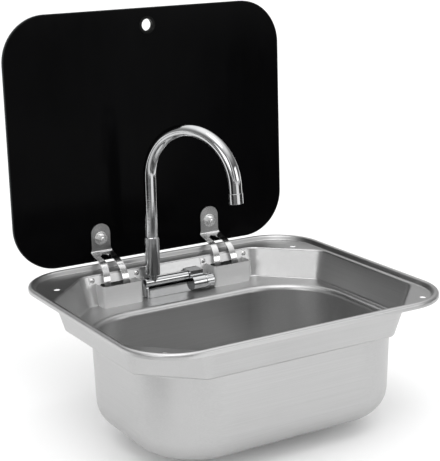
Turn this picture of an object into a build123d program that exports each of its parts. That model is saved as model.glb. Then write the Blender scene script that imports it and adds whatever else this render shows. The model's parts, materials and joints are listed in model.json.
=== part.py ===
from build123d import *
import math
import os

os.makedirs("parts", exist_ok=True)

# Frame: origin at the centre of the rim, in the plane of the worktop.
# X to the right, Y to the rear (the hinge side), Z up. Millimetres.

# ---------------------------------------------------------------- bowl
SHEET = 0.8
RIM_W = 420.0
RIM_D = 365.0
RIM_R = 67.0
RIM_H = 6.8
CREST_R = 3.8
ROLL_ANGLE = 60.0
ROLL_W = 10.75

# the upper section starts inside the rim, at these widths of shelf
SHELF_SIDE = 13.0
SHELF_FRONT = 13.0
SHELF_REAR = 29.0
CORNER_FRONT = 66.5
CORNER_REAR = 69.5
FUNNEL_HALF_W = RIM_W / 2 - SHELF_SIDE
FUNNEL_FRONT = RIM_D / 2 - SHELF_FRONT
FUNNEL_REAR = RIM_D / 2 - SHELF_REAR
FUNNEL_CUT_FRONT = FUNNEL_HALF_W + FUNNEL_FRONT - CORNER_FRONT
FUNNEL_CUT_REAR = FUNNEL_HALF_W + FUNNEL_REAR - CORNER_REAR
FUNNEL_R = 24.0
FUNNEL_DRAFT = 0.30
SHELF_BEND_R = 3.0
FOOT_R = 3.0
LEDGE_Z = -37.2
MOUTH_R = 6.5

# the basin is drawn in from the upper section's outline
LEDGE_SIDE = 23.9
LEDGE_FRONT = 23.55
LEDGE_REAR = 57.55
BASIN_W = 2 * (FUNNEL_HALF_W - LEDGE_SIDE)
BASIN_D = FUNNEL_FRONT - LEDGE_FRONT + FUNNEL_REAR - LEDGE_REAR
BASIN_Y = (FUNNEL_REAR - LEDGE_REAR - FUNNEL_FRONT + LEDGE_FRONT) / 2
BASIN_R = 84.2
BASIN_DRAFT = 0.03
BASIN_FLOOR_Z = -150.85
BASIN_BOTTOM_R = 33.7

SCREW_HOLE_R = 4.0
SCREW_SIDE = 35.0
SCREW_FRONT = 30.5
SCREW_REAR = 60.1
SCREW_SPACING_X = RIM_W - 2 * SCREW_SIDE
SCREW_SPACING_Y = RIM_D - SCREW_FRONT - SCREW_REAR
SCREW_Y = (SCREW_FRONT - SCREW_REAR) / 2

# ---------------------------------------------------------------- drain
DISH_R = 32.2
DISH_DEPTH = 2.4
DISH_EDGE_R = 1.8
DRAIN_HOLE_R = 22.0
STRAINER_R = 30.5
STRAINER_T = 1.2
STRAINER_HOLE_R = 2.2
STRAINER_INNER_R = 9.5
STRAINER_INNER_HOLES = 8
STRAINER_OUTER_R = 15.5
STRAINER_OUTER_HOLES = 14
DRAIN_GASKET_T = 2.0
DRAIN_FLANGE_R = 30.0
DRAIN_FLANGE_T = 2.2
SPIGOT_R = 16.0
SPIGOT_BORE_R = 14.2
SPIGOT_L = 12.2
DRAIN_BAR_W = 7.0
DRAIN_BAR_T = 3.5
DRAIN_SCREW_R = 2.5
DRAIN_SCREW_HEAD_R = 4.8

# ---------------------------------------------------------------- hinge
HINGE_FROM_CORNER = 45.8
HINGE_X = FUNNEL_CUT_REAR - FUNNEL_REAR - HINGE_FROM_CORNER
PIVOT_Y = FUNNEL_REAR + 13.5
PIVOT_Z = -14.2
PIN_R = 2.5
RUN_FIT = 0.05
SLOT_HALF_W = 21.5
SLOT_TOP = -11.6
SLOT_BOTTOM = -29.5
SLOT_R = 2.0
HOUSING_T = 1.2
HOUSING_HALF_W = 25.0
HOUSING_TOP = -2.4
HOUSING_BOTTOM = -39.2
HOUSING_BACK = PIVOT_Y + 9.5
EAR_HALF_W = 35.8
EAR_H = 10.0
POCKET_T = 0.8
POCKET_HALF_W = 28.3
POCKET_DEPTH = 27.5
POCKET_TOP = -9.2
POCKET_R = 5.0
FOOT_CUT = FOOT_R * 0.84
FLANGE_TOP = -1.6
FLANGE_BOTTOM = -10.4
SPACER_R = 3.9
SPACER_GAP = 0.3
RIVET_X = 31.7
RIVET_Z = -5.6
RIVET_HEAD_R = 3.5
RIVET_HEAD_H = 1.9
RIVET_R = 1.6
RIVET_TAIL_R = 2.8
RIVET_TAIL_H = 1.4

# distances from the pivot with the lid upright: U to the rear, V up
BRACKET_T = 1.5
UPRIGHT_W = 27.0
SHELF_W = 31.0
FOOT_W = 35.6
LEG_W = 9.0
BRACKET_TOP = 71.6
BRACKET_TOP_R = 12.8
BEND_V = 34.0
BEND_R = 3.0
SHELF_U = 4.4
SHELF_V = 29.1
SHELF_R = 5.0
LEG_U = -22.0
LEG_V = 26.5
LEG_R = 28.4
SPLAY_TOP_V = 27.0
SPLAY_FOOT_V = 8.0
KNUCKLE_R = 4.3
NOTCH_DEPTH = 7.5

# ---------------------------------------------------------------- lid
LID_TILT = 1.13
LID_W = RIM_W - 20.0
LID_L = RIM_D - 43.0
LID_T = 5.0
LID_R = 58.5
LID_EDGE = 1.0
LID_FACE_U = 21.4
LID_EDGE_V = 21.2
FINGER_FROM_TOP = 22.0
FINGER_V = LID_L - FINGER_FROM_TOP
FINGER_R = 7.8
GROMMET_R = 11.2
GROMMET_T = 0.8
GROMMET_WALL = 1.7
PAD_T = 1.5
LID_SCREW_V = 52.3
LID_SCREW_R = 2.95
LID_SCREW_HEAD_R = 9.0
LID_SCREW_HEAD_T = 2.6
LID_SCREW_TIP = 2.2
LID_WASHER_R = 8.7
LID_WASHER_T = 1.2
LID_NUT_AF = 10.0
LID_NUT_T = 5.0
GLASS_HOLE_R = 5.0
BACK_WASHER_T = 1.2

# ---------------------------------------------------------------- tap
TAP_FROM_HINGE = 49.7
TAP_X = TAP_FROM_HINGE - HINGE_X
FOLD_Y = FUNNEL_REAR - 13.5
FOLD_Z = -17.7
HUB_R = 6.0
HUB_BORE_R = 2.6
STUB_R = 4.5
STUB_L = 6.0
LUG_R = 6.3
LUG_W = 3.2
LUG_FIT = 0.07
LUG_GAP = 0.3
BASE_LEFT = TAP_X - 12.5
BASE_FRONT = FOLD_Y - 8.0
BASE_TOP = -24.2
BASE_CORNER_R = 4.0
BASE_LEDGE_GAP = 0.3
TAP_GASKET_T = 1.0

KNOB_R = 9.0
KNOB_L = 12.3
KNOB_GAP = 0.7
KNOB_FROM_POCKET = 1.9
KNOB_FLUTES = 12
KNOB_RIGHT = HINGE_X - POCKET_HALF_W - KNOB_FROM_POCKET
KNOB_LEFT = KNOB_RIGHT - KNOB_L
VALVE_Y = FOLD_Y - 9.0
VALVE_Z = -26.5
VALVE_W = 19.1
VALVE_RIGHT = KNOB_LEFT - KNOB_GAP
VALVE_LEFT = VALVE_RIGHT - VALVE_W
VALVE_TOP = -10.6
VALVE_BOSS_R = 10.0
HUB_RIGHT = VALVE_LEFT - 0.4
CARTRIDGE_R = 7.5
CARTRIDGE_L = 11.5
CARTRIDGE_LEFT = VALVE_RIGHT - CARTRIDGE_L
STEM_R = 2.45

INLET_X = VALVE_RIGHT - 7.0
INLET_Z = -25.0
INLET_THREAD_R = 5.9
INLET_HOSE_R = 5.0
INLET_BORE_R = 3.4
INLET_HOSE_L = 16.0
STUD_X = TAP_X
STUD_Z = -29.6
STUD_R = 2.95
TAIL_DEPTH = 5.0
LOCK_WASHER_T = 1.5
LOCK_NUT_T = 5.0

NECK_R = 5.9
COLLAR_R = 9.75
COLLAR_BOTTOM = -8.2
COLLAR_TOP = 42.8
COLLAR_FLOOR = 3.0
COLLAR_HOLE_R = 4.0
TUBE_R = 8.4
TUBE_WALL = 1.2
COLLAR_FIT = 0.06
TUBE_FOOT_BORE_R = 6.2
TUBE_FOOT_L = 40.0
SPOUT_HEADING = 24.0
ARCH_R = 65.5
ARCH_Z = 121.0
ARCH_SWEEP = 176.0
TAIL_L = 20.0
RING_CORD_R = 0.45
RING_GAP = 0.03
SPOUT_RING_Z = (16.0, 30.0)
GRUB_Z = 5.0
GRUB_R = 1.45
AERATOR_WALL = 0.6
AERATOR_R = TUBE_R + AERATOR_WALL
AERATOR_BACK = 10.0
AERATOR_LIP = 3.0
INSERT_T = 2.2

COS_F = math.cos(math.atan(FUNNEL_DRAFT))
SIN_F = math.sin(math.atan(FUNNEL_DRAFT))


# ---------------------------------------------------------------- helpers
def at_z(shape, z):
    return [e for e in shape.edges() if abs(e.center().Z - z) < 0.01 and abs(e.bounding_box().size.Z) < 0.01]


def xcyl(r, x0, x1, y, z):
    """Cylinder along X between x0 and x1."""
    return Pos((x0 + x1) / 2, y, z) * Rot(0, 90, 0) * Cylinder(r, abs(x1 - x0))


def zcyl(r, z0, z1, x=0.0, y=0.0):
    """Cylinder along Z between z0 and z1."""
    return Pos(x, y, (z0 + z1) / 2) * Cylinder(r, abs(z1 - z0))


def block(x0, x1, y0, y1, z0, z1):
    """Box between two corners."""
    return Pos((x0 + x1) / 2, (y0 + y1) / 2, (z0 + z1) / 2) * Box(x1 - x0, y1 - y0, z1 - z0)


def hexagon(af, t):
    """Hexagonal prism along Z from 0 to t, size across flats."""
    return extrude(RegularPolygon(af / 2, 6, major_radius=False), t)


def wall_y(z):
    """Y of the rear wall's front surface at height z."""
    return FUNNEL_REAR - (SHEET - z) * FUNNEL_DRAFT


def on_wall(x, z, depth=0.0):
    """Frame on the rear wall: its Z axis points out of the bowl, square to the wall."""
    origin = (x, wall_y(z) + depth * COS_F, z - depth * SIN_F)
    return Plane(origin=origin, x_dir=(1, 0, 0), z_dir=(0, COS_F, -SIN_F)).location


# ---------------------------------------------------------------- bowl
def roll_profile():
    """Section of the rolled rim in XZ: outer edge at x = 0, inwards along +X."""
    a = math.radians(ROLL_ANGLE)
    run = ROLL_W - CREST_R
    drop = RIM_H - SHEET
    det = 1 - math.cos(a)
    radii = (run * math.sin(a) - drop * math.cos(a)) / det
    flat = (drop * math.sin(a) - run * det) / det
    root_r = radii - CREST_R
    cz = RIM_H - CREST_R
    rz = SHEET + root_r

    def crest(r, deg):
        t = math.radians(deg)
        return (CREST_R + r * math.cos(t), 0, cz + r * math.sin(t))

    def root(r, deg):
        t = math.radians(deg)
        return (ROLL_W + r * math.cos(t), 0, rz + r * math.sin(t))

    end = 90 - ROLL_ANGLE
    mid = (180 + end) / 2
    lo = 180 + end
    lo_mid = (lo + 270) / 2
    r_in = CREST_R - SHEET
    root_in = root_r + SHEET
    edges = [
        Line((0, 0, 0), (0, 0, cz)),
        ThreePointArc(crest(CREST_R, 180), crest(CREST_R, mid), crest(CREST_R, end)),
        Line(crest(CREST_R, end), root(root_r, lo)),
        ThreePointArc(root(root_r, lo), root(root_r, lo_mid), root(root_r, 270)),
        Line(root(root_r, 270), root(root_in, 270)),
        ThreePointArc(root(root_in, 270), root(root_in, lo_mid), root(root_in, lo)),
        Line(root(root_in, lo), crest(r_in, end)),
        ThreePointArc(crest(r_in, end), crest(r_in, mid), crest(r_in, 180)),
        Line((SHEET, 0, cz), (SHEET, 0, 0)),
        Line((SHEET, 0, 0), (0, 0, 0)),
    ]
    assert flat > 0
    return Face(Wire(edges))


def rim_ring():
    """Rolled rim: four straight runs and four quarter turns."""
    profile = roll_profile()
    pieces = []
    runs = ((0, RIM_W, RIM_D), (90, RIM_D, RIM_W), (180, RIM_W, RIM_D), (270, RIM_D, RIM_W))
    for turn, reach, other in runs:
        half = other / 2 - RIM_R
        straight = extrude(Pos(-reach / 2, -half, 0) * profile, amount=2 * half, dir=(0, 1, 0))
        pivot = Axis((-reach / 2 + RIM_R, half, 0), (0, 0, -1))
        corner = revolve(Pos(-reach / 2, half, 0) * profile, pivot, 90)
        pieces.append(Rot(0, 0, turn) * straight)
        pieces.append(Rot(0, 0, turn) * corner)
    return pieces[0].fuse(*pieces[1:])


def octagon(inset, z):
    """Outline of the upper section, moved in by inset from its line at the shelf."""
    hx = FUNNEL_HALF_W - inset
    front = FUNNEL_FRONT - inset
    rear = FUNNEL_REAR - inset
    cut_f = FUNNEL_CUT_FRONT - inset * math.sqrt(2)
    cut_r = FUNNEL_CUT_REAR - inset * math.sqrt(2)
    right = [(cut_f - front, -front), (hx, -(cut_f - hx)), (hx, cut_r - hx), (cut_r - rear, rear)]
    left = [(-x, y) for x, y in reversed(right)]
    outline = Polygon(*(right + left), align=None)
    return Pos(0, 0, z) * fillet(outline.vertices(), FUNNEL_R - inset)


def basin_outline(grow, z):
    inset = (LEDGE_Z - z) * BASIN_DRAFT - grow
    plan = RectangleRounded(BASIN_W - 2 * inset, BASIN_D - 2 * inset, BASIN_R - inset)
    return Pos(0, BASIN_Y, z) * plan


def bowl_space(grow):
    """Space inside the bowl's surface moved out by grow: 0 for the inside, SHEET for the outside."""
    top = SHEET - grow
    ledge = LEDGE_Z - grow
    floor = BASIN_FLOOR_Z - grow
    side = grow / COS_F
    foot_in = (SHEET - ledge) * FUNNEL_DRAFT - side
    top_in = (SHEET - top) * FUNNEL_DRAFT - side
    funnel = loft([octagon(top_in, top), octagon(foot_in, ledge)], ruled=True)
    funnel = fillet(at_z(funnel, ledge), FOOT_R + grow)
    basin = loft([basin_outline(grow, ledge + 4), basin_outline(grow, floor)], ruled=True)
    basin = fillet(at_z(basin, floor), BASIN_BOTTOM_R + grow)
    space = funnel + basin
    space = fillet(at_z(space, ledge), MOUTH_R - grow)
    plan = RectangleRounded(RIM_W - ROLL_W, RIM_D - ROLL_W, RIM_R - ROLL_W / 2)
    space = space + extrude(Pos(0, 0, top) * plan, 12)
    lip = [e for e in at_z(space, top) if e.bounding_box().max.Y < RIM_D / 2 - ROLL_W
           and e.bounding_box().min.Y > -RIM_D / 2 + ROLL_W * 0.9
           and abs(e.center().X) < RIM_W / 2 - ROLL_W * 0.9]
    space = fillet(lip, SHELF_BEND_R - grow)
    dish = zcyl(DISH_R + grow, floor - DISH_DEPTH, floor + 1, 0, BASIN_Y)
    dish = fillet(at_z(dish, floor - DISH_DEPTH), DISH_EDGE_R - 1 + grow)
    space = space + dish
    edge = [e for e in at_z(space, floor) if e.bounding_box().size.X < 2.2 * (DISH_R + grow)]
    return fillet(edge, DISH_EDGE_R - grow)


def sink_bowl():
    plan = RectangleRounded(RIM_W - 2 * ROLL_W, RIM_D - 2 * ROLL_W, RIM_R - ROLL_W)
    inside = extrude(Pos(0, 0, -200) * plan, 200 + SHEET)
    body = (bowl_space(SHEET) - bowl_space(0.0)) & inside
    body = body + rim_ring()
    for sx in (-1, 1):
        for sy in (-1, 1):
            x = sx * SCREW_SPACING_X / 2
            y = SCREW_Y + sy * SCREW_SPACING_Y / 2
            body = body - zcyl(SCREW_HOLE_R, -2, 3, x, y)
    mid = (SLOT_TOP + SLOT_BOTTOM) / 2
    slot = extrude(RectangleRounded(2 * SLOT_HALF_W, SLOT_TOP - SLOT_BOTTOM, SLOT_R), 20, both=True)
    for side in (-1, 1):
        hx = side * HINGE_X
        body = body - Pos(hx, wall_y(mid), mid) * Rot(90, 0, 0) * slot
        for ear in (-1, 1):
            body = body - on_wall(hx + ear * RIVET_X, RIVET_Z) * Cylinder(RIVET_R + RUN_FIT, 6)
    body = body - on_wall(INLET_X, INLET_Z) * Cylinder(INLET_THREAD_R + 0.3, 8)
    body = body - on_wall(STUD_X, STUD_Z) * Cylinder(STUD_R + 0.3, 8)
    return body - zcyl(DRAIN_HOLE_R, BASIN_FLOOR_Z - 10, BASIN_FLOOR_Z + 5, 0, BASIN_Y)


# ---------------------------------------------------------------- drain
DISH_Z = BASIN_FLOOR_Z - DISH_DEPTH
GASKET_Z = DISH_Z - SHEET
FLANGE_Z = GASKET_Z - DRAIN_GASKET_T
SPIGOT_Z = FLANGE_Z - DRAIN_FLANGE_T
SPIGOT_END_Z = SPIGOT_Z - SPIGOT_L


def drain_strainer():
    top = DISH_Z + STRAINER_T
    disc = zcyl(STRAINER_R, DISH_Z, top)
    disc = fillet(at_z(disc, top), 0.5)
    rings = ((STRAINER_INNER_R, STRAINER_INNER_HOLES), (STRAINER_OUTER_R, STRAINER_OUTER_HOLES))
    for ring_r, count in rings:
        for i in range(count):
            a = 2 * math.pi * i / count
            hole = zcyl(STRAINER_HOLE_R, DISH_Z - 1, top + 1, ring_r * math.cos(a), ring_r * math.sin(a))
            disc = disc - hole
    disc = disc - zcyl(DRAIN_SCREW_R + 0.2, DISH_Z - 1, top + 1)
    return Pos(0, BASIN_Y, 0) * disc


def drain_gasket():
    ring = zcyl(DRAIN_FLANGE_R - 0.5, FLANGE_Z, GASKET_Z) - zcyl(DRAIN_HOLE_R + 1, FLANGE_Z - 1, GASKET_Z + 1)
    return Pos(0, BASIN_Y, 0) * ring


def drain_body():
    body = zcyl(DRAIN_FLANGE_R, SPIGOT_Z, FLANGE_Z) + zcyl(SPIGOT_R, SPIGOT_END_Z, FLANGE_Z)
    body = body - zcyl(SPIGOT_BORE_R, SPIGOT_END_Z - 1, FLANGE_Z + 1)
    bar = block(-SPIGOT_BORE_R - 1, SPIGOT_BORE_R + 1, -DRAIN_BAR_W / 2, DRAIN_BAR_W / 2,
                FLANGE_Z - DRAIN_BAR_T, FLANGE_Z)
    body = body + bar
    body = body - zcyl(DRAIN_SCREW_R + RUN_FIT, SPIGOT_END_Z, FLANGE_Z + 1)
    return Pos(0, BASIN_Y, 0) * body


def drain_screw():
    seat = DISH_Z + STRAINER_T
    head = zcyl(DRAIN_SCREW_HEAD_R, seat, seat + 1.8)
    head = fillet(at_z(head, seat + 1.8), 1.2)
    head = head - Pos(0, 0, seat + 1.4) * Box(2 * DRAIN_SCREW_HEAD_R + 1, 1.2, 1.6)
    shank = zcyl(DRAIN_SCREW_R, FLANGE_Z - DRAIN_BAR_T - 1, seat)
    return Pos(0, BASIN_Y, 0) * (head + shank)


# ---------------------------------------------------------------- hinge
def hinge_housing(x):
    lo = wall_y(HOUSING_BOTTOM) - 5
    shell = block(x - HOUSING_HALF_W, x + HOUSING_HALF_W, lo, HOUSING_BACK, HOUSING_BOTTOM, HOUSING_TOP)
    inner = block(x - HOUSING_HALF_W + HOUSING_T, x + HOUSING_HALF_W - HOUSING_T, lo - 10,
                  HOUSING_BACK - HOUSING_T, HOUSING_BOTTOM + HOUSING_T, HOUSING_TOP - HOUSING_T)
    ears = on_wall(x, RIVET_Z, SHEET + HOUSING_T / 2) * Box(2 * EAR_HALF_W, EAR_H, HOUSING_T)
    top_cut = block(x - 50, x + 50, 120, 200, HOUSING_TOP, HOUSING_TOP + 20)
    front_cut = on_wall(x, SLOT_TOP, SHEET) * Pos(0, 0, -50) * Box(200, 200, 100)
    shell = (shell + ears) - inner - top_cut - front_cut
    for ear in (-1, 1):
        shell = shell - on_wall(x + ear * RIVET_X, RIVET_Z) * Cylinder(RIVET_R + RUN_FIT, 12)
    return shell - xcyl(PIN_R + RUN_FIT, x - 30, x + 30, PIVOT_Y, PIVOT_Z)


def hinge_pocket(x):
    """Open-topped box on the ledge before the slot, with a flange riveted to the rear wall."""
    front = FUNNEL_REAR - POCKET_DEPTH

    def core(inset):
        box = block(x - POCKET_HALF_W + inset, x + POCKET_HALF_W - inset, front + inset, PIVOT_Y,
                    LEDGE_Z - inset, POCKET_TOP + inset)
        upright_edges = [e for e in box.edges() if e.bounding_box().size.Z > 1
                         and abs(e.center().Y - front - inset) < 0.01]
        return fillet(upright_edges, POCKET_R - inset)

    shell = core(0.0) - core(POCKET_T)
    for half_w, low in ((EAR_HALF_W, FLANGE_BOTTOM), (POCKET_HALF_W, SLOT_TOP)):
        plate = Box(2 * half_w, (FLANGE_TOP - low) / COS_F, POCKET_T)
        shell = shell + on_wall(x, (FLANGE_TOP + low) / 2, -POCKET_T / 2) * plate
    shell = shell - on_wall(x, FLANGE_BOTTOM, 50) * Box(200, 200, 100)
    # the sides' lower rear corner is cut off to pass the bend between wall and ledge
    toe = wall_y(LEDGE_Z) - FOOT_CUT
    heel = wall_y(LEDGE_Z + FOOT_CUT)
    clear = Polygon((toe, LEDGE_Z - 2), (heel + 9, LEDGE_Z - 2), (heel + 9, LEDGE_Z + FOOT_CUT),
                    (heel, LEDGE_Z + FOOT_CUT), (toe, LEDGE_Z), align=None)
    shell = shell - extrude(Pos(x, 0, 0) * Plane.YZ.location * clear, POCKET_HALF_W + 1, both=True)
    for ear in (-1, 1):
        shell = shell - on_wall(x + ear * RIVET_X, RIVET_Z) * Cylinder(RIVET_R + RUN_FIT, 12)
    return shell


def hinge_pin(x):
    reach = HOUSING_HALF_W + 0.4
    pin = xcyl(PIN_R, x - reach, x + reach, PIVOT_Y, PIVOT_Z)
    ends = [e for e in pin.edges() if abs(abs(e.center().X - x) - reach) < 0.01]
    return chamfer(ends, 0.4)


def rivet():
    """Rivet along +Z: dome head before the pocket's flange, tail behind the ear."""
    grip = POCKET_T + SHEET + HOUSING_T
    ball_r = (RIVET_HEAD_R ** 2 + RIVET_HEAD_H ** 2) / (2 * RIVET_HEAD_H)
    ball = Pos(0, 0, ball_r - RIVET_HEAD_H) * Sphere(ball_r)
    dome = ball & zcyl(RIVET_HEAD_R + 1, -RIVET_HEAD_H - 1, 0)
    return dome + zcyl(RIVET_R, -0.1, grip) + zcyl(RIVET_TAIL_R, grip, grip + RIVET_TAIL_H)


def hinge_rivets():
    spots = [side * HINGE_X + ear * RIVET_X for side in (-1, 1) for ear in (-1, 1)]
    return Compound([(on_wall(x, RIVET_Z, -POCKET_T) * rivet()).solid() for x in spots])


def hinge_spacers():
    """Tubes on the pins that keep the bracket's legs in the middle of the housing."""
    leg_out = FOOT_W / 2 + SPACER_GAP
    leg_in = FOOT_W / 2 - LEG_W - SPACER_GAP
    wall = HOUSING_HALF_W - HOUSING_T
    tubes = []
    for side in (-1, 1):
        for x0, x1 in ((-wall, -leg_out), (-leg_in, leg_in), (leg_out, wall)):
            tube = xcyl(SPACER_R, x0, x1, PIVOT_Y, PIVOT_Z)
            tube = tube - xcyl(PIN_R + RUN_FIT, x0 - 1, x1 + 1, PIVOT_Y, PIVOT_Z)
            tubes.append((Pos(side * HINGE_X, 0, 0) * tube).solid())
    return Compound(tubes)


def sector(centre, r, t, a0, a1):
    """Flat ring sector of mid radius r and width t between two angles in degrees."""
    def spot(radius, deg):
        a = math.radians(deg)
        return (centre[0] + radius * math.cos(a), centre[1] + radius * math.sin(a))
    out, inn, am = r + t / 2, r - t / 2, (a0 + a1) / 2
    return Face(Wire([
        ThreePointArc(spot(out, a0), spot(out, am), spot(out, a1)),
        Line(spot(out, a1), spot(inn, a1)),
        ThreePointArc(spot(inn, a1), spot(inn, am), spot(inn, a0)),
        Line(spot(inn, a0), spot(out, a0)),
    ]))


def strip(points, radii, t):
    """Section of a bent sheet: centreline points, a bend radius at each inner point."""
    faces = []
    start = Vector(*points[0])
    for i, r in enumerate(radii):
        corner = Vector(*points[i + 1])
        back = (Vector(*points[i]) - corner).normalized()
        ahead = (Vector(*points[i + 2]) - corner).normalized()
        half = math.acos(max(-1.0, min(1.0, back.dot(ahead)))) / 2
        reach = r / math.tan(half)
        centre = corner + (back + ahead).normalized() * (r / math.sin(half))
        first = corner + back * reach
        last = corner + ahead * reach
        a0 = math.degrees(math.atan2(first.Y - centre.Y, first.X - centre.X))
        a1 = math.degrees(math.atan2(last.Y - centre.Y, last.X - centre.X))
        a1 = a0 + (a1 - a0 + 180) % 360 - 180
        faces.append(straight(start, first, t))
        faces.append(sector((centre.X, centre.Y), r, t, a0, a1))
        start = last
    faces.append(straight(start, Vector(*points[-1]), t))
    return faces


def straight(p, q, t):
    along = (q - p).normalized()
    side = Vector(-along.Y, along.X) * (t / 2)
    pts = [p + side, q + side, q - side, p - side]
    return Face(Wire.make_polygon([(v.X, v.Y) for v in pts], close=True))


PLATE_U = LID_FACE_U - PAD_T - BRACKET_T / 2


def upright(x):
    """Places a shape drawn about the pivot with the lid upright: leaned back to rest."""
    return Pos(x, PIVOT_Y, PIVOT_Z) * Rot(-LID_TILT, 0, 0)


def mirrored(points):
    """Closed outline from its right half, drawn top to bottom."""
    return Polygon(*([(-x, z) for x, z in points] + points[::-1]), align=None)


def front_prism(outline, y0, y1):
    """Outline drawn in XZ, as a prism between two Y values."""
    return extrude(Pos(0, y1, 0) * Rot(90, 0, 0) * outline, y1 - y0)


def hinge_bracket(x):
    """One bent sheet: plate on the glass, shelf, and two splayed legs round to the pin."""
    line = [(PLATE_U, BRACKET_TOP), (PLATE_U, BEND_V), (SHELF_U, SHELF_V), (LEG_U, LEG_V)]
    line.append((LEG_U, -BRACKET_T / 2))
    faces = strip(line, (BEND_R, SHELF_R, LEG_R), BRACKET_T)
    faces.append(straight(Vector(-0.6 * KNUCKLE_R, 0), Vector(LEG_U - BRACKET_T / 2, 0), BRACKET_T))
    parts = [extrude(Plane.YZ.location * f, FOOT_W / 2, both=True) for f in faces]
    knuckle = xcyl(KNUCKLE_R, -FOOT_W / 2, FOOT_W / 2, 0, 0)
    bracket = knuckle.fuse(*parts)
    low = -2 * KNUCKLE_R
    outline = [(UPRIGHT_W / 2, BRACKET_TOP + 1), (UPRIGHT_W / 2, BEND_V + 2 * BEND_R),
               (SHELF_W / 2, BEND_V - 1), (SHELF_W / 2, SPLAY_TOP_V),
               (FOOT_W / 2, SPLAY_FOOT_V), (FOOT_W / 2, low)]
    bracket = bracket & front_prism(mirrored(outline), LEG_U - 10, PLATE_U + 10)
    corners = [e for e in bracket.edges() if abs(e.center().Z - BRACKET_TOP) < 0.01
               and abs(abs(e.center().X) - UPRIGHT_W / 2) < 0.01]
    bracket = fillet(corners, BRACKET_TOP_R)
    notch_r = SHELF_W / 2 - LEG_W
    foot_gap = FOOT_W / 2 - LEG_W
    notch = [(notch_r, BEND_V - 1), (notch_r, SPLAY_TOP_V), (foot_gap, SPLAY_FOOT_V), (foot_gap, low)]
    bracket = bracket - front_prism(mirrored(notch), LEG_U - 10, NOTCH_DEPTH)
    bracket = bracket - zcyl(notch_r, SPLAY_TOP_V - 5, BEND_V - 1, 0, NOTCH_DEPTH)
    bracket = bracket - xcyl(PIN_R + RUN_FIT, -30, 30, 0, 0)
    hole = Pos(0, PLATE_U, LID_SCREW_V) * Rot(90, 0, 0) * Cylinder(LID_SCREW_R + 0.25, 8)
    return upright(x) * (bracket - hole)


def along_screw(u):
    """Frame on the lid screw's axis at distance u behind the pivot, Z axis to the rear."""
    return Pos(0, u, LID_SCREW_V) * Rot(-90, 0, 0)


def ring(r_out, r_in, t):
    """Washer along +Z from 0 to t."""
    return zcyl(r_out, 0, t) - zcyl(r_in, -1, t + 1)


def at_both(shape):
    return Compound([(upright(side * HINGE_X) * shape).solid() for side in (-1, 1)])


def bracket_pads():
    low = BEND_V + BEND_R + 1
    half = UPRIGHT_W / 2 - 0.6
    plate = block(-half, half, LID_FACE_U - PAD_T, LID_FACE_U, low, BRACKET_TOP - 0.6)
    corners = [e for e in plate.edges() if abs(e.center().Z - BRACKET_TOP + 0.6) < 0.01
               and abs(e.center().X) > 10]
    plate = fillet(corners, BRACKET_TOP_R - 0.6)
    plate = plate - along_screw(0) * zcyl(LID_SCREW_R + 0.25, 0, 40)
    return at_both(plate)


def lid_screws():
    """Flat-headed screw: head behind the glass, tip in front of the nut."""
    seat = LID_FACE_U + LID_T + BACK_WASHER_T
    tip = LID_FACE_U - PAD_T - BRACKET_T - LID_WASHER_T - LID_NUT_T - LID_SCREW_TIP
    head = along_screw(seat) * zcyl(LID_SCREW_HEAD_R, 0, LID_SCREW_HEAD_T)
    rim = [e for e in head.edges() if abs(e.center().Y - seat - LID_SCREW_HEAD_T) < 0.01]
    head = fillet(rim, 1.2)
    shank = along_screw(tip) * zcyl(LID_SCREW_R, 0, seat - tip + 0.5)
    end = [e for e in shank.edges() if abs(e.center().Y - tip) < 0.01]
    return at_both(head + chamfer(end, 0.5))


def glass_bushes():
    return at_both(along_screw(LID_FACE_U + 0.2) * ring(GLASS_HOLE_R - 0.1, LID_SCREW_R + 0.1, LID_T - 0.4))


def lid_back_washers():
    return at_both(along_screw(LID_FACE_U + LID_T) * ring(LID_SCREW_HEAD_R, LID_SCREW_R + 0.2, BACK_WASHER_T))


def lid_front_washers():
    seat = LID_FACE_U - PAD_T - BRACKET_T - LID_WASHER_T
    washer = along_screw(seat) * ring(LID_WASHER_R, LID_SCREW_R + 0.2, LID_WASHER_T)
    rim = [e for e in washer.edges() if abs(e.center().Y - seat) < 0.01
           and e.bounding_box().size.X > LID_WASHER_R]
    return at_both(fillet(rim, 0.4))


def lid_nuts():
    seat = LID_FACE_U - PAD_T - BRACKET_T - LID_WASHER_T - LID_NUT_T
    corner = LID_NUT_AF / math.sqrt(3)
    low_align = (Align.CENTER, Align.CENTER, Align.MIN)
    crown = Cone(corner - 0.9 + LID_NUT_T * 1.7, corner - 0.9, LID_NUT_T, align=low_align)
    nut = hexagon(LID_NUT_AF, LID_NUT_T) & crown
    nut = Pos(0, 0, LID_NUT_T) * Rot(180, 0, 0) * nut
    return at_both(along_screw(seat) * (nut - zcyl(LID_SCREW_R + 0.05, -1, LID_NUT_T + 1)))


# ---------------------------------------------------------------- lid
def glass_lid():
    plan = Pos(0, LID_EDGE_V + LID_L / 2) * RectangleRounded(LID_W, LID_L, LID_R)
    glass = extrude(plan, LID_T)
    glass = chamfer(at_z(glass, 0) + at_z(glass, LID_T), LID_EDGE)
    for side in (-1, 1):
        glass = glass - zcyl(GLASS_HOLE_R, -1, LID_T + 1, side * HINGE_X, LID_SCREW_V)
    glass = glass - zcyl(FINGER_R + GROMMET_WALL, -1, LID_T + 1, 0, LID_EDGE_V + FINGER_V)
    # drawn flat in XY, then stood up: its front face at LID_FACE_U behind the pivot
    return upright(0) * Pos(0, LID_FACE_U + LID_T, 0) * Rot(90, 0, 0) * glass


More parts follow.
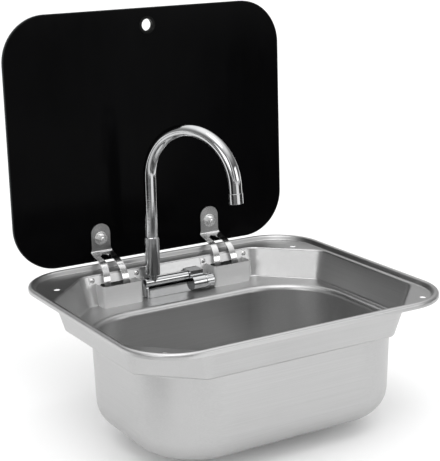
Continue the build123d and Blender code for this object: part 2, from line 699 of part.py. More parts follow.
def finger_hole_grommet():
    """Ring with a thin flange on each face of the glass."""
    neck = zcyl(FINGER_R + GROMMET_WALL - 0.05, 0, LID_T)
    flanges = zcyl(GROMMET_R, -GROMMET_T, 0) + zcyl(GROMMET_R, LID_T, LID_T + GROMMET_T)
    body = neck + flanges - zcyl(FINGER_R, -5, LID_T + 5)
    body = fillet(at_z(body, -GROMMET_T) + at_z(body, LID_T + GROMMET_T), 0.3)
    spot = Pos(0, LID_FACE_U + LID_T, LID_EDGE_V + FINGER_V) * Rot(90, 0, 0)
    return upright(0) * spot * body


# ---------------------------------------------------------------- tap
def tap_base():
    bottom = LEDGE_Z + BASE_LEDGE_GAP
    back = TAP_GASKET_T / COS_F

    def section(top, x0, x1):
        rise = wall_y(bottom + 2.6) - back
        pts = [(BASE_FRONT, bottom), (rise - 1.6, bottom), (rise, bottom + 2.6),
               (wall_y(top) - back, top), (BASE_FRONT, top)]
        face = Face(Wire.make_polygon(pts, close=True))
        return extrude(Pos(x0, 0, 0) * Plane.YZ.location * face, x1 - x0)

    body = section(BASE_TOP, BASE_LEFT, VALVE_LEFT + 1)
    corner = [e for e in body.edges() if abs(e.center().X - BASE_LEFT) < 0.01
              and abs(e.center().Y - BASE_FRONT) < 0.01]
    body = fillet(corner, BASE_CORNER_R)
    body = body + section(VALVE_TOP, VALVE_LEFT, VALVE_RIGHT)
    body = body + xcyl(VALVE_BOSS_R, VALVE_LEFT, VALVE_RIGHT, VALVE_Y, VALVE_Z)
    body = body + xcyl(LUG_R, BASE_LEFT, BASE_LEFT + LUG_W, FOLD_Y, FOLD_Z)
    body = body + block(BASE_LEFT, BASE_LEFT + LUG_W, FOLD_Y - 4.5, FOLD_Y + 4.5, BASE_TOP - 1, FOLD_Z - 3)
    body = body - xcyl(STUB_R + LUG_FIT, BASE_LEFT - 1, BASE_LEFT + LUG_W + 1, FOLD_Y, FOLD_Z)
    body = body - xcyl(STUB_R + LUG_FIT, VALVE_LEFT - 1, VALVE_LEFT + STUB_L, FOLD_Y, FOLD_Z)
    body = body - xcyl(CARTRIDGE_R + 0.1, CARTRIDGE_LEFT, VALVE_RIGHT + 1, VALVE_Y, VALVE_Z)
    feed_x = VALVE_LEFT + STUB_L - 1.6
    body = body - xcyl(2.0, feed_x, CARTRIDGE_LEFT + 1, VALVE_Y + 3, VALVE_Z + 3)
    lean = math.degrees(math.atan2(FOLD_Y - VALVE_Y - 3, FOLD_Z - VALVE_Z - 3))
    mid_y = (FOLD_Y + VALVE_Y + 3) / 2
    mid_z = (FOLD_Z + VALVE_Z + 3) / 2
    body = body - Pos(feed_x, mid_y, mid_z) * Rot(-lean, 0, 0) * Cylinder(1.5, 9)
    body = body - on_wall(INLET_X, INLET_Z, -TAP_GASKET_T) * zcyl(INLET_THREAD_R + 0.05, -TAIL_DEPTH, 5)
    body = body - on_wall(INLET_X, INLET_Z, -TAP_GASKET_T) * zcyl(INLET_BORE_R, -TAIL_DEPTH - 4, 0)
    return body - on_wall(STUD_X, STUD_Z, -TAP_GASKET_T) * zcyl(STUD_R + 0.05, -TAIL_DEPTH, 5)


def tap_gasket():
    low = LEDGE_Z + BASE_LEDGE_GAP + 2.6
    z0 = (BASE_TOP + low) / 2
    strip_h = (BASE_TOP - low) / COS_F
    x0, x1 = BASE_LEFT + 0.5, VALVE_LEFT + 2
    pad = on_wall((x0 + x1) / 2, z0, -TAP_GASKET_T / 2) * Box(x1 - x0, strip_h, TAP_GASKET_T)
    z1 = (VALVE_TOP + low) / 2
    x2 = VALVE_RIGHT - 0.5
    tall = on_wall((x1 + x2) / 2, z1, -TAP_GASKET_T / 2)
    tall = tall * Box(x2 - x1, (VALVE_TOP - low) / COS_F, TAP_GASKET_T)
    pad = pad + tall
    pad = pad - on_wall(INLET_X, INLET_Z) * Cylinder(INLET_THREAD_R + 0.3, 8)
    return pad - on_wall(STUD_X, STUD_Z) * Cylinder(STUD_R + 0.3, 8)


def tap_inlet_tail():
    thread_end = SHEET + LOCK_WASHER_T + LOCK_NUT_T + 1.5
    tail = zcyl(INLET_THREAD_R, -TAP_GASKET_T - TAIL_DEPTH + 0.2, thread_end)
    tail = tail + zcyl(INLET_HOSE_R, thread_end, thread_end + INLET_HOSE_L)
    tail = tail - zcyl(INLET_BORE_R, -20, thread_end + INLET_HOSE_L + 1)
    return on_wall(INLET_X, INLET_Z) * tail


def tap_fixing_stud():
    end = SHEET + LOCK_WASHER_T + LOCK_NUT_T + 3.0
    return on_wall(STUD_X, STUD_Z) * zcyl(STUD_R, -TAP_GASKET_T - TAIL_DEPTH + 0.2, end)


def tap_washers():
    inlet = on_wall(INLET_X, INLET_Z, SHEET) * ring(INLET_THREAD_R + 3.6, INLET_THREAD_R + 0.2, LOCK_WASHER_T)
    stud = on_wall(STUD_X, STUD_Z, SHEET) * ring(STUD_R + 3.4, STUD_R + 0.2, LOCK_WASHER_T)
    return Compound([inlet.solid(), stud.solid()])


def tap_lock_nuts():
    depth = SHEET + LOCK_WASHER_T
    big = hexagon(17.0, LOCK_NUT_T) - zcyl(INLET_THREAD_R + 0.05, -1, LOCK_NUT_T + 1)
    small = hexagon(10.0, LOCK_NUT_T) - zcyl(STUD_R + 0.05, -1, LOCK_NUT_T + 1)
    big = on_wall(INLET_X, INLET_Z, depth) * big
    small = on_wall(STUD_X, STUD_Z, depth) * small
    return Compound([big.solid(), small.solid()])


def tap_valve_cartridge():
    body = xcyl(CARTRIDGE_R, CARTRIDGE_LEFT + 0.3, VALVE_RIGHT, VALVE_Y, VALVE_Z)
    body = body - xcyl(STEM_R + RUN_FIT, CARTRIDGE_LEFT + 4, VALVE_RIGHT + 1, VALVE_Y, VALVE_Z)
    return body


def valve_stem():
    stem = xcyl(STEM_R, CARTRIDGE_LEFT + 4.4, KNOB_RIGHT - 3.5, VALVE_Y, VALVE_Z)
    return stem - xcyl(1.25, KNOB_RIGHT - 10, KNOB_RIGHT, VALVE_Y, VALVE_Z)


def tap_knob():
    knob = xcyl(KNOB_R, KNOB_LEFT, KNOB_RIGHT, VALVE_Y, VALVE_Z)
    rims = [e for e in knob.edges() if e.bounding_box().size.X < 0.01]
    knob = fillet(rims, 1.2)
    for i in range(KNOB_FLUTES):
        a = 2 * math.pi * i / KNOB_FLUTES
        y = VALVE_Y + (KNOB_R + 1.0) * math.cos(a)
        z = VALVE_Z + (KNOB_R + 1.0) * math.sin(a)
        knob = knob - xcyl(1.6, KNOB_LEFT + 2.5, KNOB_RIGHT + 1, y, z)
    knob = knob - xcyl(STEM_R + RUN_FIT, KNOB_LEFT - 1, KNOB_RIGHT - 3.4, VALVE_Y, VALVE_Z)
    knob = knob - xcyl(3.2, KNOB_RIGHT - 2.0, KNOB_RIGHT + 1, VALVE_Y, VALVE_Z)
    return knob - xcyl(1.4, KNOB_RIGHT - 5, KNOB_RIGHT + 1, VALVE_Y, VALVE_Z)


def knob_screw():
    head = xcyl(2.9, KNOB_RIGHT - 2.0, KNOB_RIGHT - 0.5, VALVE_Y, VALVE_Z)
    shank = xcyl(1.2, KNOB_RIGHT - 9, KNOB_RIGHT - 1, VALVE_Y, VALVE_Z)
    slot = block(KNOB_RIGHT - 1.2, KNOB_RIGHT, VALVE_Y - 4, VALVE_Y + 4, VALVE_Z - 0.4, VALVE_Z + 0.4)
    return head + shank - slot


HUB_LEFT = BASE_LEFT + LUG_W + LUG_GAP
STUB_END = VALVE_LEFT + STUB_L - 0.4
FOLD_RING_X = VALVE_LEFT + 2.6


def fold_hub():
    """Horizontal hub with the riser's neck on top and a trunnion at its right end."""
    hub = xcyl(HUB_R, HUB_LEFT, HUB_RIGHT, FOLD_Y, FOLD_Z)
    hub = hub + xcyl(STUB_R, HUB_RIGHT, STUB_END, FOLD_Y, FOLD_Z)
    hub = hub + zcyl(NECK_R, FOLD_Z, COLLAR_BOTTOM, TAP_X, FOLD_Y)
    hub = hub + zcyl(COLLAR_HOLE_R - 0.05, FOLD_Z, COLLAR_BOTTOM + COLLAR_FLOOR, TAP_X, FOLD_Y)
    hub = hub - xcyl(HUB_BORE_R, TAP_X, STUB_END + 1, FOLD_Y, FOLD_Z)
    hub = hub - zcyl(HUB_BORE_R, FOLD_Z, COLLAR_TOP, TAP_X, FOLD_Y)
    hub = hub - xcyl(STUB_R + 0.05, HUB_LEFT - 1, HUB_LEFT + 5.0, FOLD_Y, FOLD_Z)
    groove_r = STUB_R - 2 * RING_CORD_R + LUG_FIT - 2 * RING_GAP
    groove = xcyl(STUB_R + 1, FOLD_RING_X - 0.7, FOLD_RING_X + 0.7, FOLD_Y, FOLD_Z)
    return hub - (groove - xcyl(groove_r, FOLD_RING_X - 2, FOLD_RING_X + 2, FOLD_Y, FOLD_Z))


def fold_pin():
    """Socket-headed pivot in the left lug, held in the hub."""
    pin = xcyl(STUB_R, BASE_LEFT + 0.8, HUB_LEFT + 4.8, FOLD_Y, FOLD_Z)
    socket = Pos(BASE_LEFT, FOLD_Y, FOLD_Z) * Rot(0, 90, 0) * hexagon(6.0, 5.0)
    return pin - socket


def fold_o_ring():
    mid_r = STUB_R + LUG_FIT - RING_GAP - RING_CORD_R
    return Pos(FOLD_RING_X, FOLD_Y, FOLD_Z) * Rot(0, 90, 0) * Torus(mid_r, RING_CORD_R)


def tap_collar():
    sleeve = zcyl(COLLAR_R, COLLAR_BOTTOM, COLLAR_TOP)
    sleeve = chamfer(at_z(sleeve, COLLAR_TOP) + at_z(sleeve, COLLAR_BOTTOM), 0.6)
    sleeve = sleeve - zcyl(TUBE_R + COLLAR_FIT, COLLAR_BOTTOM + COLLAR_FLOOR, COLLAR_TOP + 1)
    sleeve = sleeve - zcyl(COLLAR_HOLE_R, COLLAR_BOTTOM - 1, COLLAR_TOP)
    sleeve = sleeve - Pos(0, COLLAR_R, GRUB_Z) * Rot(90, 0, 0) * Cylinder(GRUB_R + RUN_FIT, 5)
    return Pos(TAP_X, FOLD_Y, 0) * sleeve


def spout_grub_screw():
    screw = Pos(0, (TUBE_R - 0.45 + COLLAR_R - 0.2) / 2, GRUB_Z) * Rot(90, 0, 0)
    screw = screw * Cylinder(GRUB_R, COLLAR_R - 0.2 - TUBE_R + 0.45)
    return Pos(TAP_X, FOLD_Y, 0) * screw


TUBE_BOTTOM = COLLAR_BOTTOM + COLLAR_FLOOR + 0.3


def spout_frame():
    """Places the spout drawn in XZ, reaching along +X, at its heading."""
    return Pos(TAP_X, FOLD_Y, 0) * Rot(0, 0, SPOUT_HEADING - 90)


def arch_end():
    """End of the arch and its direction there, in the spout's own XZ plane."""
    a = math.radians(180 - ARCH_SWEEP)
    spot = Vector(ARCH_R + ARCH_R * math.cos(a), 0, ARCH_Z + ARCH_R * math.sin(a))
    return spot, Vector(math.sin(a), 0, -math.cos(a))


def outlet_frame(back=0.0):
    """Frame at the tube's outlet, Z axis along the water, moved back up the tube."""
    spot, along = arch_end()
    tip = spot + along * (TAIL_L - back)
    return Plane(origin=tip, x_dir=(0, 1, 0), z_dir=along).location


def tap_spout():
    spot, along = arch_end()
    rise = Line((0, 0, TUBE_BOTTOM), (0, 0, ARCH_Z))
    bend = ThreePointArc((0, 0, ARCH_Z), half_way(), spot)
    tail = Line(spot, spot + along * TAIL_L)
    path = Wire([rise, bend, tail])
    start = Pos(0, 0, TUBE_BOTTOM)
    outer = sweep(start * Circle(TUBE_R), path)
    inner = sweep(start * Circle(TUBE_R - TUBE_WALL), path)
    foot = zcyl(TUBE_R - 0.2, TUBE_BOTTOM, TUBE_BOTTOM + TUBE_FOOT_L)
    foot = foot - zcyl(TUBE_FOOT_BORE_R, TUBE_BOTTOM - 1, TUBE_BOTTOM + TUBE_FOOT_L + 1)
    tube = (outer - inner) + foot
    groove_r = TUBE_R + COLLAR_FIT - 2 * RING_GAP - 2 * RING_CORD_R
    for z in SPOUT_RING_Z:
        tube = tube - (zcyl(TUBE_R + 1, z - 0.7, z + 0.7) - zcyl(groove_r, z - 1, z + 1))
    neck = zcyl(TUBE_R + 1, GRUB_Z - GRUB_R - 0.4, GRUB_Z + GRUB_R + 0.4)
    tube = tube - (neck - zcyl(TUBE_R - 0.8, GRUB_Z - 5, GRUB_Z + 5))
    return spout_frame() * tube


def half_way():
    a = math.radians(180 - ARCH_SWEEP / 2)
    return (ARCH_R + ARCH_R * math.cos(a), 0, ARCH_Z + ARCH_R * math.sin(a))


def spout_o_rings():
    mid_r = TUBE_R + COLLAR_FIT - RING_GAP - RING_CORD_R
    rings = [spout_frame() * Pos(0, 0, z) * Torus(mid_r, RING_CORD_R) for z in SPOUT_RING_Z]
    return Compound([r.solid() for r in rings])


def aerator_shell():
    shell = zcyl(AERATOR_R, -AERATOR_BACK, AERATOR_LIP)
    shell = fillet(at_z(shell, AERATOR_LIP) + at_z(shell, -AERATOR_BACK), 0.7 * AERATOR_WALL)
    shell = shell - zcyl(TUBE_R + 0.05, -AERATOR_BACK - 1, INSERT_T)
    shell = shell - zcyl(TUBE_R - 1.2, 0, AERATOR_LIP + 1)
    return spout_frame() * outlet_frame() * shell


def aerator_insert():
    disc = zcyl(TUBE_R - 0.05, 0, INSERT_T)
    for ring_r, count in ((0.0, 1), (2.6, 6), (5.2, 12)):
        for i in range(count):
            a = 2 * math.pi * i / count
            disc = disc - zcyl(0.8, -1, INSERT_T + 1, ring_r * math.cos(a), ring_r * math.sin(a))
    return spout_frame() * outlet_frame() * disc


PARTS = {
    "sink_bowl": sink_bowl,
    "drain_strainer": drain_strainer,
    "drain_screw": drain_screw,
    "drain_gasket": drain_gasket,
    "drain_body": drain_body,
    "hinge_housing_left": lambda: hinge_housing(-HINGE_X),
    "hinge_housing_right": lambda: hinge_housing(HINGE_X),
    "hinge_pocket_left": lambda: hinge_pocket(-HINGE_X),
    "hinge_pocket_right": lambda: hinge_pocket(HINGE_X),
    "hinge_rivets": hinge_rivets,
    "hinge_spacers": hinge_spacers,
    "hinge_pin_left": lambda: hinge_pin(-HINGE_X),
    "hinge_pin_right": lambda: hinge_pin(HINGE_X),
    "glass_lid": glass_lid,
    "finger_hole_grommet": finger_hole_grommet,
    "hinge_bracket_left": lambda: hinge_bracket(-HINGE_X),
    "hinge_bracket_right": lambda: hinge_bracket(HINGE_X),
    "bracket_pads": bracket_pads,
    "lid_screws": lid_screws,
    "glass_bushes": glass_bushes,
    "lid_back_washers": lid_back_washers,
    "lid_front_washers": lid_front_washers,
    "lid_nuts": lid_nuts,
    "tap_base": tap_base,
    "tap_gasket": tap_gasket,
    "tap_inlet_tail": tap_inlet_tail,
    "tap_fixing_stud": tap_fixing_stud,
    "tap_washers": tap_washers,
    "tap_lock_nuts": tap_lock_nuts,
    "tap_valve_cartridge": tap_valve_cartridge,
    "valve_stem": valve_stem,
    "tap_knob": tap_knob,
    "knob_screw": knob_screw,
    "fold_hub": fold_hub,
    "fold_pin": fold_pin,
    "fold_o_ring": fold_o_ring,
    "tap_collar": tap_collar,
    "spout_grub_screw": spout_grub_screw,
    "tap_spout": tap_spout,
    "spout_o_rings": spout_o_rings,
    "aerator_shell": aerator_shell,
    "aerator_insert": aerator_insert,
}

for name, build in PARTS.items():
    export_step(build(), "parts/" + name + ".step")
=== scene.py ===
import json
import math

import bpy
from mathutils import Matrix, Vector


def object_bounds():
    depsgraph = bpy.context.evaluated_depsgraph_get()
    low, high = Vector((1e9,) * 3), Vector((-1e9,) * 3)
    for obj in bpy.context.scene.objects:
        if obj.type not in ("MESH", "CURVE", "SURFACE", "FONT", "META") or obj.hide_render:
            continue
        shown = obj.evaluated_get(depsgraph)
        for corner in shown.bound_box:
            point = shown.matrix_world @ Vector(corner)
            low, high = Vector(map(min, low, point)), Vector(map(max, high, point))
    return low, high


# Lengths are in metres. Tones, weights and roughnesses run from 0 to 1.
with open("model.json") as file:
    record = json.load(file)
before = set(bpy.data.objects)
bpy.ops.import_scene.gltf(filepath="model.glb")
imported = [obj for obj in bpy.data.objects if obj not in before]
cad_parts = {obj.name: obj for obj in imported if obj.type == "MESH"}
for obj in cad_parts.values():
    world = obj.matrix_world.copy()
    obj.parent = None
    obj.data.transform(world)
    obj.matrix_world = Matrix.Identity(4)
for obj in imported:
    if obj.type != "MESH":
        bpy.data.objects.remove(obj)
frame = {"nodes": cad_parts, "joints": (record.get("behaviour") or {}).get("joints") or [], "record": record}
CAD_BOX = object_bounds()
NODES = frame["nodes"]


# ---------------------------------------------------------------- materials
class Finish:
    """A Principled material built up from noise in object coordinates."""

    def __init__(self, name, metallic=0.0, **fixed):
        self.mat = bpy.data.materials.new(name)
        self.mat.use_nodes = True
        self.tree = self.mat.node_tree
        self.bsdf = self.tree.nodes["Principled BSDF"]
        self.bsdf.inputs["Metallic"].default_value = metallic
        for key, value in fixed.items():
            self.bsdf.inputs[key.replace("_", " ")].default_value = value
        self.coord = self.add("ShaderNodeTexCoord")
        self.last_bump = None

    def add(self, kind, **props):
        node = self.tree.nodes.new(kind)
        for key, value in props.items():
            setattr(node, key, value)
        return node

    def link(self, output, socket):
        self.tree.links.new(output, socket)

    def put(self, socket, value):
        """Links a node's output to the socket, or sets a plain value on it."""
        if isinstance(value, bpy.types.NodeSocket):
            self.link(value, socket)
        else:
            socket.default_value = value

    def noise(self, scale, detail=3.0, rough=0.55, stretch=(1, 1, 1), turn=(0, 0, 0)):
        """Noise of so many waves a metre, with more of them along an axis that is stretched."""
        mapping = self.add("ShaderNodeMapping")
        mapping.inputs["Scale"].default_value = stretch
        mapping.inputs["Rotation"].default_value = turn
        self.link(self.coord.outputs["Object"], mapping.inputs["Vector"])
        node = self.add("ShaderNodeTexNoise")
        node.inputs["Scale"].default_value = scale
        node.inputs["Detail"].default_value = detail
        node.inputs["Roughness"].default_value = rough
        self.link(mapping.outputs["Vector"], node.inputs["Vector"])
        return node.outputs["Fac"]

    def remap(self, value, first, last, start=0.35, end=0.65, smooth=False):
        """Runs from first to last while the value runs from start to end, and holds both beyond."""
        node = self.add("ShaderNodeMapRange", interpolation_type="SMOOTHSTEP" if smooth else "LINEAR")
        self.link(value, node.inputs["Value"])
        node.inputs["From Min"].default_value = start
        node.inputs["From Max"].default_value = end
        node.inputs["To Min"].default_value = first
        node.inputs["To Max"].default_value = last
        return node.outputs["Result"]

    def calc(self, operation, a, b=0.0):
        node = self.add("ShaderNodeMath", operation=operation)
        self.put(node.inputs[0], a)
        self.put(node.inputs[1], b)
        return node.outputs[0]

    def weigh(self, *parts):
        """The sum of each value times its weight."""
        total = None
        for value, weight in parts:
            share = self.calc("MULTIPLY", value, weight)
            total = share if total is None else self.calc("ADD", total, share)
        return total

    def mix(self, share, a, b):
        node = self.add("ShaderNodeMix", data_type="FLOAT")
        self.link(share, node.inputs["Factor"])
        self.put(node.inputs[2], a)
        self.put(node.inputs[3], b)
        return node.outputs[0]

    def tint(self, share, a, b):
        """Mixes two colours, of which the first may be a node's output."""
        node = self.add("ShaderNodeMix", data_type="RGBA")
        self.link(share, node.inputs["Factor"])
        self.put(node.inputs[6], a if isinstance(a, bpy.types.NodeSocket) else (*a, 1))
        self.put(node.inputs[7], (*b, 1))
        return node.outputs[2]

    def along(self, coordinates, axis):
        """The X, Y or Z part of the object's own coordinates or of its surface's normal."""
        split = self.add("ShaderNodeSeparateXYZ")
        self.link(self.coord.outputs[coordinates], split.inputs[0])
        return split.outputs[axis]

    def facing(self, axis):
        """1 where the surface faces along the axis, either way, and 0 where it runs along it."""
        part = self.calc("ABSOLUTE", self.along("Normal", axis))
        return self.remap(part, 0.0, 1.0, 0.45, 0.85, smooth=True)

    def edges(self):
        """1 on sharp outer edges, where a finish wears first."""
        geometry = self.add("ShaderNodeNewGeometry")
        return self.remap(geometry.outputs["Pointiness"], 0.0, 1.0, 0.505, 0.56)

    def color(self, value):
        self.link(value, self.bsdf.inputs["Base Color"])

    def rough(self, value):
        self.put(self.bsdf.inputs["Roughness"], value)

    def bump(self, height, strength, distance):
        """Adds a bump on top of those before it."""
        node = self.add("ShaderNodeBump")
        node.inputs["Strength"].default_value = strength
        node.inputs["Distance"].default_value = distance
        self.link(height, node.inputs["Height"])
        if self.last_bump is not None:
            self.link(self.last_bump, node.inputs["Normal"])
        self.last_bump = node.outputs["Normal"]
        self.link(self.last_bump, self.bsdf.inputs["Normal"])


def grey(tone):
    return (tone, tone, tone)


def shade(color, factor, lift=0.0):
    """The colour made darker or lighter, and at most white."""
    return [min(1.0, part * factor + lift) for part in color]


FINE_LINES = (7, 900)       # waves a metre along the brushing and across it
BROAD_LINES = (3, 160)


def brushed(name, light, dark, rough_lo, rough_hi, grain=0.25, crest=None):
    """Stainless sheet brushed along X, and along Y where it faces X.

    A crest is the heights between which the rim turns to its rubbed crest, and that crest's least roughness.
    """
    f = Finish(name, metallic=1.0)
    end_wall = f.facing("X")

    def lines(waves, detail, rough):
        along, across = waves
        return f.mix(end_wall, f.noise(1.0, detail, rough, (along, across, across)),
                     f.noise(1.0, detail, rough, (across, along, across)))

    fine = lines(FINE_LINES, 2.0, 0.6)
    broad = lines(BROAD_LINES, 3.0, 0.5)
    cloud = f.noise(14.0, 4.0, 0.6)
    speck = f.noise(420.0, 2.0, 0.5)
    tone = f.weigh((fine, 0.60), (broad, 0.15), (cloud, 0.25))
    base = f.tint(f.remap(tone, 0.0, 1.0, 0.30, 0.70), dark, light)
    f.color(f.tint(f.calc("MULTIPLY", f.edges(), 0.35), base, shade(light, 1.15)))
    rough = f.remap(f.weigh((tone, 0.7), (speck, 0.3)), rough_lo, rough_hi, 0.38, 0.62)
    if crest is not None:
        low, high, rubbed = crest
        up = f.remap(f.along("Object", "Z"), 0.0, 1.0, low, high, smooth=True)
        rough = f.mix(up, rough, f.remap(cloud, rubbed, rubbed + 0.06))
    f.rough(rough)
    f.bump(fine, grain, 0.00004)
    f.bump(cloud, 0.04, 0.0006)
    return f.mat


POLISH_WAVES, POLISH_TILT = (1600, 40, 240), (0.3, 0.5, 0.2)


def polished_metal(name, light, dark, rough_lo, rough_hi, strength=0.12,
                   waves=POLISH_WAVES, tilt=POLISH_TILT):
    """Bright metal with faint polishing lines of so many waves a metre, and a haze that clouds it."""
    f = Finish(name, metallic=1.0)
    haze = f.noise(60.0, 4.0, 0.6)
    speck = f.noise(900.0, 2.0, 0.5)
    lines = f.noise(1.0, 2.0, 0.7, waves, tilt)
    tone = f.weigh((haze, 0.6), (lines, 0.4))
    f.color(f.tint(f.remap(tone, 0.0, 1.0), dark, light))
    f.rough(f.calc("ADD", f.remap(tone, rough_lo, rough_hi), f.calc("MULTIPLY", speck, 0.03)))
    f.bump(lines, strength, 0.00002)
    f.bump(haze, 0.05, 0.0002)
    return f.mat


def black_glass():
    """Tinted tempered glass: a deep gloss with faint smears and dust, and a paler ground edge."""
    f = Finish("glass_black", IOR=1.5, Specular_IOR_Level=0.02)
    smear = f.noise(5.0, 5.0, 0.62, (1.0, 1.0, 0.5))
    dust = f.noise(700.0, 2.0, 0.6)
    wiped = f.noise(1.0, 3.0, 0.6, (90, 90, 9), (0, 0.35, 0))
    pane = f.calc("ABSOLUTE", f.along("Normal", "Y"))
    edge = f.remap(pane, 1.0, 0.0, 0.35, 0.85, smooth=True)
    body = f.tint(f.remap(smear, 0.0, 1.0), (0.0010, 0.0010, 0.0011), (0.0020, 0.0020, 0.0022))
    body = f.tint(f.remap(dust, 0.0, 0.25, 0.62, 0.8), body, grey(0.006))
    f.color(f.tint(edge, body, (0.05, 0.055, 0.055)))
    gloss = f.calc("ADD", f.remap(smear, 0.06, 0.12), f.remap(wiped, 0.0, 0.05))
    f.rough(f.mix(edge, gloss, 0.28))
    f.bump(smear, 0.03, 0.0008)
    return f.mat


def rubber(name, tone):
    f = Finish(name, Specular_IOR_Level=0.35)
    grain = f.noise(1400.0, 2.0, 0.6)
    cloud = f.noise(70.0, 3.0, 0.6)
    f.color(f.tint(f.remap(cloud, 0.0, 1.0), shade(tone, 0.8), shade(tone, 1.25)))
    f.rough(f.remap(grain, 0.65, 0.83))
    f.bump(grain, 0.25, 0.00006)
    f.bump(cloud, 0.15, 0.0003)
    return f.mat


def moulded(name, tone, rough=0.5, specular=0.45):
    """Moulded plastic with a fine spark-eroded grain, flow marks and paler worn edges, which on the
    near-black finger ring also make a painted glint.
    """
    f = Finish(name, Specular_IOR_Level=specular)
    grain = f.noise(900.0, 3.0, 0.6)
    flow = f.noise(45.0, 3.0, 0.5, (1, 1, 0.3))
    base = f.tint(f.remap(flow, 0.0, 1.0), shade(tone, 0.88), shade(tone, 1.1))
    # Paler worn edges; on the near-black finger ring this pale edge is a painted glint.
    f.color(f.tint(f.calc("MULTIPLY", f.edges(), 0.3), base, shade(tone, 1.5, 0.03)))
    f.rough(f.remap(grain, rough - 0.08, rough + 0.1))
    f.bump(grain, 0.18, 0.00005)
    return f.mat


MATERIALS = {
    "stainless_satin": brushed("stainless_satin", grey(0.52), grey(0.45), 0.32, 0.42,
                               crest=(0.002, 0.0055, 0.34)),
    "stainless_polished": polished_metal("stainless_polished", grey(0.70), grey(0.58), 0.10, 0.22),
    "chrome": polished_metal("chrome", (0.55, 0.555, 0.56), (0.47, 0.475, 0.48), 0.03, 0.07, strength=1.0,
                             waves=(25, 25, 2600), tilt=(0, 0, 0)),
    "steel_dark": polished_metal("steel_dark", (0.28, 0.28, 0.29), (0.16, 0.16, 0.17), 0.28, 0.45),
    "brass": polished_metal("brass", (0.74, 0.55, 0.27), (0.55, 0.38, 0.17), 0.22, 0.42),
    "glass_black": black_glass(),
    "rubber_black": rubber("rubber_black", grey(0.022)),
    "plastic_black": moulded("plastic_black", grey(0.03)),
    "plastic_grey": moulded("plastic_grey", grey(0.42), rough=0.4),
}
# The hinge pockets' stainless: a rougher pressed finish, in a lighter tone than the satin, which paints
# light onto the pocket fronts.
PRESSED_AND_PAINTED_LIGHT = brushed("stainless_pressed_painted_light", grey(0.84), grey(0.76), 0.55, 0.66, grain=0.15)
# The washers, nuts and screws: polished stainless in a lighter tone, as a painted highlight.
FASTENER_PAINTED_HIGHLIGHT = polished_metal("stainless_fastener_painted_highlight", grey(0.90), grey(0.78), 0.20, 0.30, strength=0.3)
# The finger-hole ring: black plastic much darker than the other black plastic, as painted shade.
FINGER_RING_PAINTED_SHADE = moulded("plastic_ring_painted_shade", grey(0.002), rough=0.28, specular=0.07)
# Pieces that the photograph shows lighter or darker than the rest of their slot, given lighter and darker
# copies of its finish as painted light and painted shade.
PAINTED_LIGHT_FINISHES = {
    "hinge_pocket_left": PRESSED_AND_PAINTED_LIGHT,
    "hinge_pocket_right": PRESSED_AND_PAINTED_LIGHT,
    "lid_front_washers": FASTENER_PAINTED_HIGHLIGHT,
    "lid_nuts": FASTENER_PAINTED_HIGHLIGHT,
    "lid_screws": FASTENER_PAINTED_HIGHLIGHT,
    "finger_hole_grommet": FINGER_RING_PAINTED_SHADE,
}
for row in frame["record"]["subparts"]:
    mesh = NODES[row["node"]].data
    mesh.materials.clear()
    mesh.materials.append(PAINTED_LIGHT_FINISHES.get(row["node"], MATERIALS[row["material_slot"]]))

# ---------------------------------------------------------------- floor
FLOOR_Z = CAD_BOX[0].z - 0.0005
FLOOR_HALF = 30.0


def floor_material():
    f = Finish("studio_floor", Specular_IOR_Level=0.1)
    f.color(f.tint(f.remap(f.noise(1.5, 2.0, 0.5), 0.0, 1.0), grey(0.90), grey(0.93)))
    f.rough(f.remap(f.noise(40.0, 2.0, 0.5), 0.85, 0.95))
    return f.mat


def stage_mesh(name, points, faces, material):
    """A sheet that belongs to the studio, not to the object."""
    mesh = bpy.data.meshes.new(name)
    mesh.from_pydata(points, [], faces)
    mesh.materials.append(material)
    sheet = bpy.data.objects.new(name, mesh)
    bpy.context.scene.collection.objects.link(sheet)
    return sheet


SIGNS = ((-1, -1), (1, -1), (1, 1), (-1, 1))
FLOOR_CORNERS = [(x * FLOOR_HALF, y * FLOOR_HALF, FLOOR_Z) for x, y in SIGNS]
stage_mesh("floor", FLOOR_CORNERS, [(0, 1, 2, 3)], floor_material())


# ---------------------------------------------------------------- lights
def light_from(name, kind, place, energy):
    """A light that looks at the origin, the middle of the rim."""
    light = bpy.data.lights.new(name, kind)
    light.energy = energy
    lamp = bpy.data.objects.new(name, light)
    lamp.location = place
    lamp.rotation_euler = (-Vector(place)).to_track_quat("-Z", "Y").to_euler()
    bpy.context.scene.collection.objects.link(lamp)
    return light


def softbox(name, place, size, watts):
    light = light_from(name, "AREA", place, watts)
    light.shape = "RECTANGLE"
    light.size, light.size_y = size


SKY, SKY_DEGREES = 0.5, 34.0
light_from("sky", "SUN", (-0.25, -0.35, 1.0), SKY).angle = math.radians(SKY_DEGREES)
softbox("front", (-0.75, -2.2, 0.9), (0.6, 1.6), 2.5)
softbox("left", (-1.85, -1.05, 0.66), (1.2, 0.8), 8.0)
softbox("right", (1.25, -1.95, 0.62), (1.6, 0.9), 10.0)

# ---------------------------------------------------------------- dark cards for the reflections
SWIVEL = next(joint for joint in frame["joints"] if joint["name"] == "tap_swivel")
TAP_X, TAP_Y = SWIVEL["pos_m"][:2]
FLAG_STEPS = 24
FLAG_Z = FLOOR_Z + 0.002
FLAG_NEAR, FLAG_FAR = 0.95, 6.0


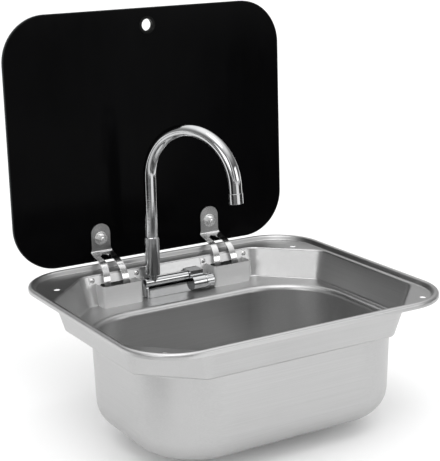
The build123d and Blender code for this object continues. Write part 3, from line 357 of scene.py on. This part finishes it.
def flag(name, near, far, start, end, tone):
    """A sector of paper around the tap that only reflections see.

    It runs from start to end, in degrees turned from -Y towards -X.
    """
    points = []
    for step in range(FLAG_STEPS + 1):
        turn = math.radians(start + (end - start) * step / FLAG_STEPS)
        for radius in (near, far):
            points.append((TAP_X - radius * math.sin(turn), TAP_Y - radius * math.cos(turn), FLAG_Z))
    faces = [(2 * step, 2 * step + 1, 2 * step + 3, 2 * step + 2) for step in range(FLAG_STEPS)]
    f = Finish(name, Specular_IOR_Level=0.0)
    f.color(f.tint(f.noise(3.0, 2.0, 0.5), grey(tone * 0.8), grey(tone * 1.2)))
    f.rough(0.9)
    card = stage_mesh(name, points, faces, f.mat)
    card.visible_camera = card.visible_diffuse = card.visible_shadow = card.visible_transmission = False


# The far ones draw dark lines on the tap and darken the glass.
# The near one shades the bowl's front left corner.
flag("flag_left", FLAG_NEAR, FLAG_FAR, 8.0, 60.0, 0.16)
flag("flag_left_dark", FLAG_NEAR, FLAG_FAR, 60.0, 100.0, 0.02)
flag("flag_right", FLAG_NEAR, FLAG_FAR, -95.0, -32.0, 0.04)
flag("flag_corner", 0.42, 0.94, 46.0, 84.0, 0.66)

# ---------------------------------------------------------------- world
DOME = 1.12
ROOM_FRONT, ROOM_BACK, ROOM_TOP = 0.18, 0.40, 1.7


def studio_world():
    """A white dome, which metal and glass reflect as a room that is dim low down and bright overhead."""
    world = bpy.data.worlds.new("studio")
    world.use_nodes = True
    tree = world.node_tree
    background = tree.nodes["Background"]
    background.inputs["Color"].default_value = (1.0, 1.0, 1.0, 1.0)
    coord = tree.nodes.new("ShaderNodeTexCoord")
    direction = tree.nodes.new("ShaderNodeSeparateXYZ")
    tree.links.new(coord.outputs["Generated"], direction.inputs[0])

    def blend(value, start, end, first, last):
        """Runs from first to last while the value does from start to end. First and last may be outputs."""
        node = tree.nodes.new("ShaderNodeMapRange")
        node.interpolation_type = "SMOOTHSTEP"
        tree.links.new(value, node.inputs["Value"])
        node.inputs["From Min"].default_value = start
        node.inputs["From Max"].default_value = end
        for key, part in (("To Min", first), ("To Max", last)):
            if isinstance(part, float):
                node.inputs[key].default_value = part
            else:
                tree.links.new(part, node.inputs[key])
        return node.outputs["Result"]

    walls = blend(direction.outputs["Y"], -0.4, 0.5, ROOM_FRONT, ROOM_BACK)
    room = blend(direction.outputs["Z"], 0.4, 1.0, walls, ROOM_TOP)
    path = tree.nodes.new("ShaderNodeLightPath")
    seen = blend(path.outputs["Is Glossy Ray"], 0.0, 1.0, DOME, room)
    tree.links.new(seen, background.inputs["Strength"])
    bpy.context.scene.world = world


studio_world()
bpy.context.scene.view_settings.view_transform = "Standard"

# ---------------------------------------------------------------- camera
# Solved from the outlines of the rim, the lid and the basin in the photograph. Angles are in radians.
YAW, PITCH, ROLL = 0.539286, 0.257594, -0.018257
EYE = Vector((-0.799559, -1.314033, 0.481527))
FOCAL_PX, LONG_SIDE_PX, SENSOR_MM = 1322.24, 461, 36.0

ahead = Vector((math.sin(YAW) * math.cos(PITCH), math.cos(YAW) * math.cos(PITCH), -math.sin(PITCH)))
level = Vector((math.cos(YAW), -math.sin(YAW), 0.0))
above = level.cross(ahead)
right = level * math.cos(ROLL) + above * math.sin(ROLL)
upward = above * math.cos(ROLL) - level * math.sin(ROLL)
lens = bpy.data.cameras.new("camera")
lens.sensor_width = SENSOR_MM
lens.lens = FOCAL_PX * SENSOR_MM / LONG_SIDE_PX
lens.clip_start, lens.clip_end = 0.05, 100.0
camera = bpy.data.objects.new("camera", lens)
camera.matrix_world = Matrix((
    (right.x, upward.x, -ahead.x, EYE.x),
    (right.y, upward.y, -ahead.y, EYE.y),
    (right.z, upward.z, -ahead.z, EYE.z),
    (0, 0, 0, 1)))
bpy.context.scene.collection.objects.link(camera)
bpy.context.scene.camera = camera
